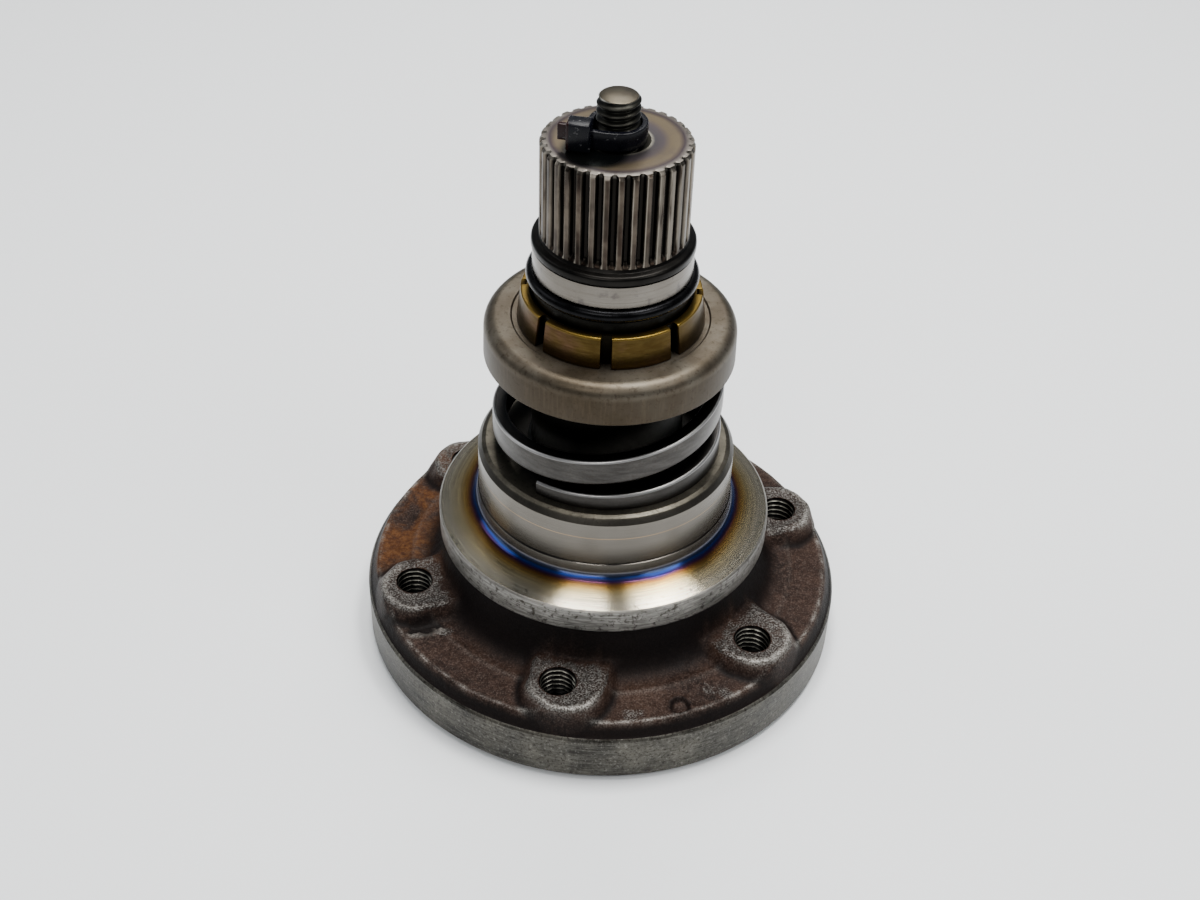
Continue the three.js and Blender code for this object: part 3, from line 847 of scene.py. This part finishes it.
def flange_forging():
    """The hammered flange with its bosses, turned rim, underside recess and six threaded holes."""
    columns = 720
    angles = HOLE_PHASE + np.arange(columns) * TAU / columns
    side = rounded([(RECESS_R, 0, 0.4), (FLANGE_R - RIM_BEVEL, 0, 0.25), (FLANGE_R, RIM_BEVEL, 0.3),
                    (FLANGE_R, RIM_TOP - 0.45, 0)])
    side = [point for point in side if point[0] > RECESS_R + 0.2]
    fine = np.concatenate([np.linspace(FLANGE_R, 47.0, 26)[1:], np.linspace(47.0, 36.0, 36)[1:],
                           np.linspace(36.0, NECK_R, 22)[1:]])
    neck_top = DISC_UNDER - 0.02
    hollow = rounded([(BORE_R, neck_top, 0), (BORE_R, SEAT_TOP, 0.1), (SEAT_R, SEAT_FOOT, 0.1),
                      (SEAT_R, RECESS_ROOF, 0.4), (RECESS_R - 2, RECESS_ROOF, 0.8),
                      (RECESS_R, RECESS_ROOF - 2, 0.8), (RECESS_R, 0.4, 0), (RECESS_R + 0.4, 0.0, 0)])

    def plain_rows(outline):
        return [[np.full(columns, value) for value in (r, z, 0.0, 0.0, 0.0)] for r, z in outline]

    rows = plain_rows(side)
    for r in fine:
        z, bare, crease_shade, edge = forging_top(np.full(columns, r), angles)
        rows.append((np.full(columns, r), np.minimum(z, neck_top), bare, crease_shade, edge))
    rows += plain_rows(hollow)
    radii, heights, *layers = (np.array(column) for column in zip(*rows))
    first, last = len(side) + 3, len(side) + len(fine) - 1
    slots = np.repeat([0 if first <= i < last else 1 for i in range(len(rows))], columns)
    faces = grid_faces(len(rows), columns, True)
    piece = new_piece("flange_forging", around(radii, heights, angles), faces,
                      [forging_skin(), rim_steel(), THREAD], slots)
    for name, values in zip(("bare", "crease_shade", "edge"), layers):
        add_layer(piece, name, values)
    for i in range(HOLE_COUNT):
        turn = HOLE_PHASE + i * HOLE_STEP
        x, y = HOLE_CIRCLE * cos(turn), HOLE_CIRCLE * sin(turn)
        cut(piece, thread_cutter(x, y, -1.0, BOSS_TOP + 1.7))
    return piece


# ---- Turned lengths of the shaft


def seal_collar():
    """Disc collar, seal journal and hub with the spring's seat on top."""
    root = JOURNAL_R + 0.22
    line = JOURNAL_LINE
    corners = [
        (BORE_R, DISC_UNDER, 0), (DISC_R - 0.5, DISC_UNDER, 0.1), (DISC_R, DISC_UNDER + 0.5, 0.15),
        (DISC_R, DISC_EDGE - 0.35, 0.12), (DISC_R - 0.35, DISC_EDGE, 0.1),
        (root + 1.3, DISC_INNER_Z, 0.4), (root, JOURNAL_FOOT, 1.2), (root, line, 0.08),
        (JOURNAL_R - 0.1, line + 0.1, 0.03), (JOURNAL_R - 0.1, line + 0.25, 0.03),
        (JOURNAL_R, line + 0.35, 0.05), (JOURNAL_R, HUB_TOP - 1.5, 0.15),
        (JOURNAL_R - 0.8, HUB_TOP - 0.35, 0.3), (JOURNAL_R - 1.6, HUB_TOP, 0.3), (BORE_R, HUB_TOP, 0),
    ]

    def slot_at(r, z):
        if r > DISC_R - 0.45 or z < DISC_EDGE - 0.5:
            return 1
        if z < JOURNAL_FOOT and r > root + 0.3:
            return 0
        return 2 if z < HUB_TOP - 1.55 else 3

    return turned("seal_collar", corners, [disc_face(), disc_rim(), ground_journal(), OILY_AND_SHADE], slot_at, 360)


def stub_shaft():
    """Shaft inside the spring, circlip groove, bright journal and the shoulder under the splines."""
    groove_low, groove_high = CLIP_Z - 1.4, CLIP_Z + 1.4
    foot, top = HUB_TOP + 0.01, SPLINE_FOOT - 0.01
    step = SHOULDER_FOOT
    corners = [
        (BORE_R, foot, 0), (STUB_R + 1.2, foot, 0.4), (STUB_R, HUB_TOP + 1.2, 0.8),
        (STUB_R, groove_low, 0.35), (GROOVE_R, groove_low, 0.3), (GROOVE_R, groove_high, 0.3),
        (STUB_R, groove_high, 0.25), (STUB_R, step, 0.05), (STUB_R - 0.25, step + 0.1, 0.03),
        (STUB_R - 0.25, step + 0.35, 0.03), (SHOULDER_R, step + 0.4, 0.35), (SHOULDER_R, SHOULDER_TOP, 0.8),
        (14.0, SHOULDER_TOP + 0.35, 0.3), (13.6, top, 0.0), (BORE_R, top, 0),
    ]

    def slot_at(r, z):
        if z > step + 0.05:
            return 2
        return 1 if z > groove_high - 0.1 else 0

    return turned("stub_shaft", corners, [OILY_AND_SHADE, bright_journal(), shoulder_steel()], slot_at, 240, 5)


def mirrored(*rise):
    """Values over one tooth from the root to its middle, and the same down the other flank."""
    return np.array((0.0, *rise, *reversed(rise[:-1])))


def spline_end():
    """Splines with a hob run-out at the foot, the end face and the bore's mouth."""
    flank = (0.08, 0.14, 0.18, 0.25, 0.31, 0.35, 0.42)
    shares = (0.0, *flank, 0.5, *(1 - share for share in reversed(flank)))
    lifts = mirrored(0.0, 0.06, 0.2, 0.6, 0.92, 1.0, 1.0, 1.0)
    broad = mirrored(0.0, 0.0, 0.0, 0.1, 0.3, 0.4, 0.5, 0.5)
    thin = np.array((0.0, 0.0, 0.0, 0.05, 0.4, 1.0, 0.4, 0.04, 0.0, 0.0, 0.05, 0.25, 0.2, 0.05, 0.0, 0.0))
    step = TAU / SPLINE_TEETH
    angles = np.concatenate([SPLINE_PHASE + (i + np.array(shares)) * step for i in range(SPLINE_TEETH)])
    lift = np.tile(lifts, SPLINE_TEETH)
    random = np.random.default_rng(8)
    end_bevel = np.repeat(0.62 + random.uniform(-0.14, 0.14, SPLINE_TEETH), len(shares))
    radii, heights = [], []
    foot = SPLINE_FOOT
    levels = np.concatenate([np.linspace(foot, foot + 1.6, 9), np.linspace(foot + 2.4, SHAFT_END - 1.6, 8),
                             np.linspace(SHAFT_END - 1.5, SHAFT_END - 0.12, 8)])
    for z in levels:
        run = smooth(0, 1, np.clip((foot + 1.5 - z) / 1.5, 0, 1))
        root = SPLINE_ROOT + (SPLINE_TIP - 0.05 - SPLINE_ROOT) * run ** 1.5
        row = root + (SPLINE_TIP - root) * lift
        row = np.minimum(row, SPLINE_TIP + (SHAFT_END - z) * 0.8 - end_bevel)
        radii.append(row)
        heights.append(z)
    edge = radii[-1].min()
    closing = rounded([(edge - 0.35, SHAFT_END, 0), (BORE_MOUTH, SHAFT_END, 0.15),
                       (BORE_R, SHAFT_END - 1.6, 0.2), (BORE_R, foot, 0)])
    for r, z in [(edge - 0.12, SHAFT_END - 0.01), *closing]:
        radii.append(np.full(len(angles), r))
        heights.append(z)
    rows = len(radii)
    points = around(radii, heights, angles)
    slots = np.repeat([0 if i < len(levels) - 1 else 1 for i in range(rows)], len(angles))
    faces = grid_faces(rows, len(angles), True)
    piece = new_piece("spline_end", points, faces, [spline_steel(), shaft_end()], slots, sharp=22)
    # A thin painted highlight along one flank, strongest on teeth facing left front, and broader wear and
    # painted highlight on the crests, more on the right front.
    facing = (SPLINE_PHASE + (np.arange(SPLINE_TEETH) + 0.5) * step + pi) % TAU - pi
    spread = random.uniform(0.0, 0.6, SPLINE_TEETH) ** 2 + 0.35 * bell(facing, radians(-35), 0.5)
    line = random.uniform(0.3, 0.9, SPLINE_TEETH) + 0.4 * bell(facing, radians(-150), 0.6)
    wear_and_highlight = np.concatenate([np.maximum(thin * a, broad * b) for a, b in zip(line, spread)])
    add_layer(piece, "wear_and_highlight", np.tile(wear_and_highlight, rows))
    return piece


# ---- Loose parts on the shaft

SPRING_TURNS = 2.75
SPRING_TIP_ANGLE = radians(-125)
END_TURN = 340 / 360
END_PITCH = 6.6
WIRE_RADIAL = 2.85
WIRE_AXIAL = 5.6
WIRE_BURIED = 0.2       # how far each flat end is ground into the wire
SPRING_R = 23.0


def wire_height(turns):
    """Height of the wire's centre above the seat: slow end turns and a steep active coil."""
    rise = SPRING_TOP - SPRING_FOOT + 2 * WIRE_BURIED
    active = SPRING_TURNS - 2 * END_TURN
    steep = (rise - 2 * END_TURN * END_PITCH) / active
    first = np.minimum(turns, END_TURN) * END_PITCH
    middle = np.clip(turns - END_TURN, 0, active) * steep
    last = np.maximum(turns - END_TURN - active, 0) * END_PITCH
    return first + middle + last - WIRE_BURIED


def compression_spring():
    """Rectangular wire wound round the shaft, its two ends ground flat."""
    steps, soften = 420, 1 / 6
    turns = np.linspace(0, SPRING_TURNS, steps)
    shifts = np.linspace(-soften, soften, 9)
    height = np.mean([wire_height(np.clip(turns + shift, 0, SPRING_TURNS)) for shift in shifts], 0)
    out = spokes(SPRING_TIP_ANGLE + turns * TAU)
    centres = out * (SPRING_R - WIRE_RADIAL / 2 - 0.05)
    centres[:, 2] = SPRING_FOOT + height
    section = rounded_section(WIRE_RADIAL, WIRE_AXIAL, 0.55, 4)
    piece = sweep("compression_spring", centres, out, section, spring_steel())
    points = np.empty(len(piece.data.vertices) * 3)
    piece.data.vertices.foreach_get("co", points)
    points = points.reshape(-1, 3)
    points[:, 2] = np.clip(points[:, 2], SPRING_FOOT * MM, SPRING_TOP * MM)
    piece.data.vertices.foreach_set("co", points.ravel())
    finish_normals(piece.data, 38)
    side, level = np.array(section).T
    corner = np.hypot(np.abs(side) - WIRE_RADIAL / 2, np.abs(level) - WIRE_AXIAL / 2)
    # edge: where the painted highlight goes, the wire's top outer corner.
    add_layer(piece, "edge", np.tile((corner < 0.42) & (level > 0) & (side > 0), steps))
    # inside: where the painted shade goes, the wire's inner face.
    add_layer(piece, "inside", np.tile(side < WIRE_RADIAL / 2 - 0.7, steps))
    return piece


def thrust_washer():
    """Pressed cup with a stepped rim round its hole."""
    wall = 1.25
    inner = WASHER_R - wall
    under = WASHER_TOP - 1.6
    corners = [
        (inner, WASHER_FOOT, 0.25), (WASHER_R, WASHER_FOOT, 0.35), (WASHER_R - 0.15, WASHER_TOP, 2.6),
        (19.25, WASHER_TOP, 0.15), (18.95, WASHER_TOP - 0.3, 0.15), (15.75, WASHER_TOP - 0.3, 0.3),
        (15.75, under, 0.3), (inner, under, 0.15),
    ]
    return turned("thrust_washer", corners, [washer_steel()], None, 300, 10)


def tapered_ring():
    """Cone with eight slots, each open at the top and bottom and closed by a thin inner wall."""
    bore, slot_floor, top = 15.5, 16.15, CONE_TOP - 0.02
    count, first, half_width = 8, radians(-92), 1.0 / 17.6
    shoulder, wall = 0.006, 0.0005
    columns = []
    for i in range(count):
        at = first + i * TAU / count
        low, high = at - half_width, at + half_width
        columns += [(low - shoulder, 0.0), (low, 0.12), (low + wall, 1.0), (at, 1.0),
                    (high - wall, 1.0), (high, 0.12), (high + shoulder, 0.0)]
        beyond = np.linspace(high + shoulder, low - shoulder + TAU / count, 26)
        columns += [(a, 0.0) for a in beyond[1:-1]]
    angles, depth = np.array(columns).T
    outline = rounded([(bore, CONE_FOOT, 0.1), (CONE_R - 0.02, CONE_FOOT, 0.12), (17.3, top, 0.3),
                       (bore, top, 0.25)])
    radius, height = np.array(outline).T
    outside = (radius > slot_floor)[:, None]
    radii = np.where(outside, radius[:, None] + (slot_floor - radius[:, None]) * depth, radius[:, None])
    faces = grid_faces(len(radius), len(angles), True)
    piece = new_piece("tapered_ring", around(radii, height, angles), faces, [yellow_chromate()], sharp=30)
    # slot: where the painted shade goes, the slot floors.
    add_layer(piece, "slot", outside * (depth[None, :] >= 1.0))
    return piece


def circlip():
    """Open ring of round wire in the groove, its gap at the back."""
    steps, sides, opening = 260, 20, radians(18)
    out = spokes(radians(90) + np.linspace(opening / 2, TAU - opening / 2, steps))
    wire = (CLIP_HIGH - CLIP_LOW) / 2 - 0.01
    section = spokes(np.arange(sides) * TAU / sides)[:, :2] * wire
    centres = out * (outer_radius("circlip") - wire - 0.02)
    centres[:, 2] = CLIP_Z
    return sweep("circlip", centres, out, section, black_steel())


# ---- Bolt and tie


def securing_bolt():
    """Countersunk bolt with a hexagon socket and a rolled thread up to its bevelled end."""
    columns = 72
    angles = np.arange(columns) * TAU / columns
    pitch, crest, depth = 1.5, 3.97, 0.72
    thread_low = BOLT_END - 30
    head_r, head_h, shank_r, tip_r, socket_depth = 7.98, 4.37, 3.95, 3.42, 3.2
    sixth = radians(60)
    hexagon = 2.5 / np.cos((angles + sixth / 2) % sixth - sixth / 2)
    radii, heights = [], []

    def row(radius, z):
        radii.append(np.broadcast_to(radius, (columns,)))
        heights.append(z)

    row(0.05, BOLT_FOOT + 3.9)
    row(2.2, BOLT_FOOT + socket_depth)
    row(hexagon, BOLT_FOOT + socket_depth)
    row(hexagon, BOLT_FOOT + 0.3)
    row(hexagon + 0.3, BOLT_FOOT)
    for r, z in rounded([(5.0, BOLT_FOOT, 0), (head_r, BOLT_FOOT, 0.25), (head_r, BOLT_FOOT + 0.34, 0.1),
                         (shank_r, BOLT_FOOT + head_h, 0.6), (shank_r, thread_low - 1, 0)])[1:]:
        row(r, z)
    for z in np.arange(thread_low, BOLT_END - 0.15, pitch / 12):
        wave = (z / pitch - angles / TAU) % 1.0
        tooth = np.clip(1.45 * (1 - np.abs(2 * wave - 1)) - 0.22, 0, 1)
        radius = crest - depth * (1 - tooth) * smooth(thread_low, thread_low + 2, z)
        row(np.minimum(radius, tip_r + (BOLT_END - z) * 0.75), z)
    row(tip_r, BOLT_END - 0.06)
    row(3.34, BOLT_END)
    row(0.05, BOLT_END)
    points = around(radii, heights, angles)
    return new_piece("securing_bolt", points, capped_faces(len(radii), columns), [bolt_steel()], sharp=50)


def soft_box(name, size, centre, bevel):
    """A nylon block with rounded edges, turned with the head of the tie."""
    mesh = bpy.data.meshes.new(name)
    bm = bmesh.new()
    bmesh.ops.create_cube(bm, size=1.0)
    bmesh.ops.scale(bm, vec=[s * MM for s in size], verts=bm.verts)
    bmesh.ops.bevel(bm, geom=bm.edges[:], offset=bevel * MM, segments=3, profile=0.5, affect="EDGES")
    bmesh.ops.rotate(bm, cent=(0, 0, 0), matrix=Matrix.Rotation(TIE_TILT, 3, "Z"), verts=bm.verts)
    bmesh.ops.translate(bm, vec=[c * MM for c in centre], verts=bm.verts)
    for face in bm.faces:
        face.smooth = True
    bm.to_mesh(mesh)
    bm.free()
    mesh.materials.append(NYLON)
    return add_object(name, mesh)


TIE_TILT = radians(-9)
TIE_HEAD = (4.3, 3.6, 5.3)
TIE_HEAD_AT = (-6.7, -4.2)
STRAP_R = 4.8
STRAP_T = 1.1
STRAP_W = 3.5


def tie_strap():
    """The strap leaves the head, runs round the bolt and comes back into the head."""
    strap_z = TIE_FOOT + STRAP_W / 2
    path = [(-6.4, -3.6), (-5.4, -3.85), (-3.6, -4.3), (-1.9, -4.65)]
    for a in np.radians(np.linspace(-100, 178, 44)):
        path.append((STRAP_R * cos(a), STRAP_R * sin(a)))
    path += [(-4.95, -0.8), (-5.3, -1.8), (-5.9, -3.0)]
    path = np.array(path)
    ahead = np.gradient(path, axis=0)
    ahead /= np.linalg.norm(ahead, axis=1)[:, None]
    side = np.stack([ahead[:, 1], -ahead[:, 0], np.zeros(len(path))], -1)
    centres = np.column_stack([path, np.full(len(path), strap_z)])
    return sweep("tie_strap", centres, side, rounded_section(STRAP_T, STRAP_W, 0.22, 3), NYLON)


def tie_head():
    x, y = TIE_HEAD_AT
    return soft_box("tie_head", TIE_HEAD, (x, y, TIE_FOOT + TIE_HEAD[2] / 2), 0.35)


def tie_tail():
    x, y = TIE_HEAD_AT
    return soft_box("tie_tail", (2.6, 1.05, 3.0), (x - 2.5, y - 0.1, TIE_FOOT + 3.2), 0.15)


# ---- Shared materials

THREAD = thread_steel()
OILY_AND_SHADE = oily_steel_and_shade()
NYLON = black_nylon()

# ---- Pieces on their bodies

PIECES = (   # body, CAD node, material slot and the visible pieces that stand for the node
    ("flange", "flange_shaft", "forged_steel", (flange_forging, seal_collar, stub_shaft, spline_end)),
    ("flange", "compression_spring", "spring_steel", (compression_spring,)),
    ("washer", "thrust_washer", "pressed_steel", (thrust_washer,)),
    ("cone", "tapered_ring", "yellow_chromate", (tapered_ring,)),
    ("clip", "circlip", "black_steel", (circlip,)),
    ("bolt", "securing_bolt", "bolt_steel", (securing_bolt,)),
    ("tie", "cable_tie", "black_nylon", (tie_strap, tie_head, tie_tail)),
)


def squash_spring(spring):
    """Gives the spring a mesh of its own."""
    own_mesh(spring)


for body, node, slot, makers in PIECES:
    for make in makers:
        made = make()
        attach(made, body)
        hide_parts(node)
        if make is compression_spring:
            squash_spring(made)

# ---- Floor, light and camera


def floor():
    half, drop = 4.0, -0.0001
    mesh = bpy.data.meshes.new("floor")
    corners = [(-half, -half, drop), (half, -half, drop), (half, half, drop), (-half, half, drop)]
    mesh.from_pydata(corners, [], [(0, 1, 2, 3)])
    mesh.materials.append(plain_floor())
    ground = add_object("floor", mesh)


def area_light(name, place, aim, size, power, tint=(1.0, 0.99, 0.97)):
    """A panel of light turned towards a point, or straight down when there is none."""
    lamp = bpy.data.lights.new(name, "AREA")
    lamp.shape = "RECTANGLE"
    lamp.size, lamp.size_y = size
    lamp.energy = power
    lamp.color = tint
    holder = add_object(name, lamp)
    holder.location = place
    if aim:
        holder.rotation_euler = (Vector(aim) - Vector(place)).to_track_quat("-Z", "Y").to_euler()


def studio_light():
    """Two panels overhead, a window behind, one to the left and two low in front, in metres and watts."""
    world = bpy.data.worlds.new("studio")
    bpy.context.scene.world = world
    world.use_nodes = True
    background = world.node_tree.nodes["Background"]
    background.inputs["Color"].default_value = (0.86, 0.92, 1.0, 1)
    background.inputs["Strength"].default_value = 0.22
    middle, foot = (0, 0, 0.05), (0, 0, 0.03)
    area_light("top_softbox_right", (0.2475, 0.1, 0.9), None, (0.225, 0.4), 8.5)
    area_light("top_softbox_left", (-0.0625, 0.1, 0.9), None, (0.165, 0.4), 7.0)
    area_light("back_window", (0.01, 0.44, 0.56), middle, (0.3, 0.18), 1.6)
    area_light("left_softbox", (-0.7, 0.15, 0.55), middle, (0.4, 0.4), 1.2, (0.96, 0.98, 1.0))
    area_light("front_window_left", (-0.145, -0.473, 0.525), foot, (0.34, 0.16), 1.4)
    area_light("front_window_right", (0.415, -0.27, 0.525), foot, (0.3, 0.16), 1.3)


CAMERA_BACK = 258.81
CAMERA_UP = 253.78
CAMERA_YAW = radians(-0.252)
CAMERA_PITCH = radians(39.129)
CAMERA_ROLL = radians(2.066)
CAMERA_LENS = 48.91


def camera():
    """Camera turned by yaw, pitch and roll from a level view along +Y."""
    data = bpy.data.cameras.new("camera")
    data.sensor_width = 36.0
    data.lens = CAMERA_LENS
    data.clip_start = 0.01
    holder = add_object("camera", data)
    level = Vector((cos(CAMERA_YAW), -sin(CAMERA_YAW), 0))
    ahead = Vector((sin(CAMERA_YAW), cos(CAMERA_YAW), 0))
    forward = ahead * cos(CAMERA_PITCH) - Vector((0, 0, sin(CAMERA_PITCH)))
    upright = level.cross(forward)
    right = cos(CAMERA_ROLL) * level + sin(CAMERA_ROLL) * upright
    up = -sin(CAMERA_ROLL) * level + cos(CAMERA_ROLL) * upright
    turn = Matrix((right, up, -forward)).transposed()
    holder.matrix_world = Matrix.LocRotScale(Vector((0, -CAMERA_BACK * MM, CAMERA_UP * MM)), turn, None)
    bpy.context.scene.camera = holder


floor()
studio_light()
camera()
